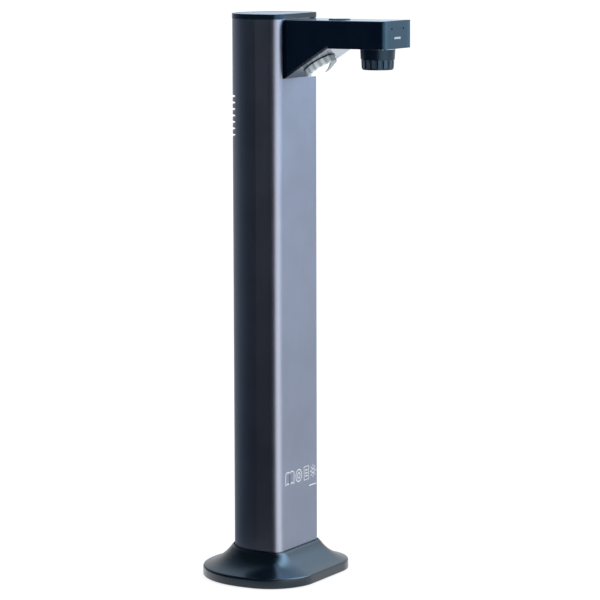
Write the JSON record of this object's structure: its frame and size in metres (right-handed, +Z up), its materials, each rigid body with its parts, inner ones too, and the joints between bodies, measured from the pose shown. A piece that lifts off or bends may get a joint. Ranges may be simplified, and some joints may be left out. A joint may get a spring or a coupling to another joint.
{
  "type": "book scanner",
  "caption": "Desktop overhead book scanner: weighted base, tall hollow metal column, fixed arm with a ribbed focus ring on its lens, a round lamp and a push button.",
  "frame": {"origin": "on the desk under the column's axis, at the underside of the rubber mat", "axes": "+Z up the column; -Y towards the camera arm's tip and the reader; +X to the arm's other side"},
  "size_m": [0.1132, 0.1478, 0.4008],
  "materials": {
    "column_metal": "anodised gunmetal, satin, fine grain",
    "cap_gloss": "black gloss plastic",
    "inlay_metal": "brushed purple-grey metal plate",
    "arm_gloss": "black gloss plastic",
    "end_plate_slate": "slate blue-grey satin",
    "silver_satin": "silver satin",
    "base_plastic": "blue-black satin plastic",
    "black_plastic": "black satin plastic",
    "ring_plastic": "black ribbed plastic",
    "rubber": "matt black rubber",
    "opal": "white opal diffuser",
    "white_plastic": "white reflector plastic",
    "glass": "coated optical glass",
    "steel": "zinc-plated steel",
    "bright_trim": "bright trim",
    "cast_weight": "cast iron, painted",
    "circuit_board": "green solder mask",
    "chip_black": "black epoxy",
    "aluminium": "bare aluminium",
    "silicone": "translucent silicone",
    "ribbon": "flat ribbon cable",
    "red_wire": "red insulated wire pair",
    "led_phosphor": "yellow phosphor"
  },
  "bodies": {
    "scanner": {"rubber_mat": "rubber", "base_floor": "black_plastic", "floor_screws": "steel", "column_bolts": "steel", "ballast_weight": "cast_weight", "base_shell": "base_plastic", "collar_gasket": "rubber", "port_board": "circuit_board", "port_screws": "steel", "usb_socket": "bright_trim", "port_ribbon": "ribbon", "column_tube": "column_metal", "main_board": "circuit_board", "board_chips": "chip_black", "heat_sink": "aluminium", "arm_bracket": "steel", "top_cap": "cap_gloss", "cap_screws": "steel", "top_inlay": "inlay_metal", "arm_housing": "arm_gloss", "arm_screws": "steel", "arm_floor": "arm_gloss", "arm_soffit": "silver_satin", "arm_end_plate": "end_plate_slate", "mic_board": "circuit_board", "mic_capsules": "bright_trim", "camera_board": "circuit_board", "camera_screws": "steel", "image_sensor": "glass", "lens_mount": "black_plastic", "lens_trim_ring": "bright_trim", "lens_collar": "black_plastic", "lamp_bezel": "black_plastic", "lamp_lens": "opal", "lamp_reflector": "white_plastic", "lamp_board": "aluminium", "lamp_leds": "led_phosphor", "lamp_screws": "steel", "button_spring": "silicone", "button_switch": "chip_black", "button_board": "circuit_board", "button_screws": "steel", "head_ribbon": "ribbon", "lamp_cable": "red_wire"},
    "focus_ring": {"focus_ring": "ring_plastic"},
    "lens_barrel": {"lens_barrel": "black_plastic", "front_lens": "glass", "lens_elements": "glass", "lens_spacers": "black_plastic", "lens_retainer": "black_plastic"},
    "lamp_button": {"lamp_button": "black_plastic"}
  },
  "joints": [
    {"name": "focus_turn", "type": "hinge", "parent": "scanner", "child": "focus_ring", "pos_m": [0, -0.0837, 0.3663], "axis": [0, 0, 1], "range_deg": [-90, 90]},
    {"name": "barrel_slide", "type": "slide", "parent": "scanner", "child": "lens_barrel", "axis": [0, 0, 1], "range_m": [-0.00075, 0.00075]},
    {"name": "button_press", "type": "slide", "parent": "scanner", "child": "lamp_button", "axis": [0, 0, -1], "range_m": [0, 0.0008], "stiffness_N_per_m": 1500, "springref_m": -0.0003, "deforming": ["button_spring"]}
  ],
  "couplings": [
    {"joint": "focus_turn", "follows": "barrel_slide", "rad_per_m": 2094.4}
  ]
}
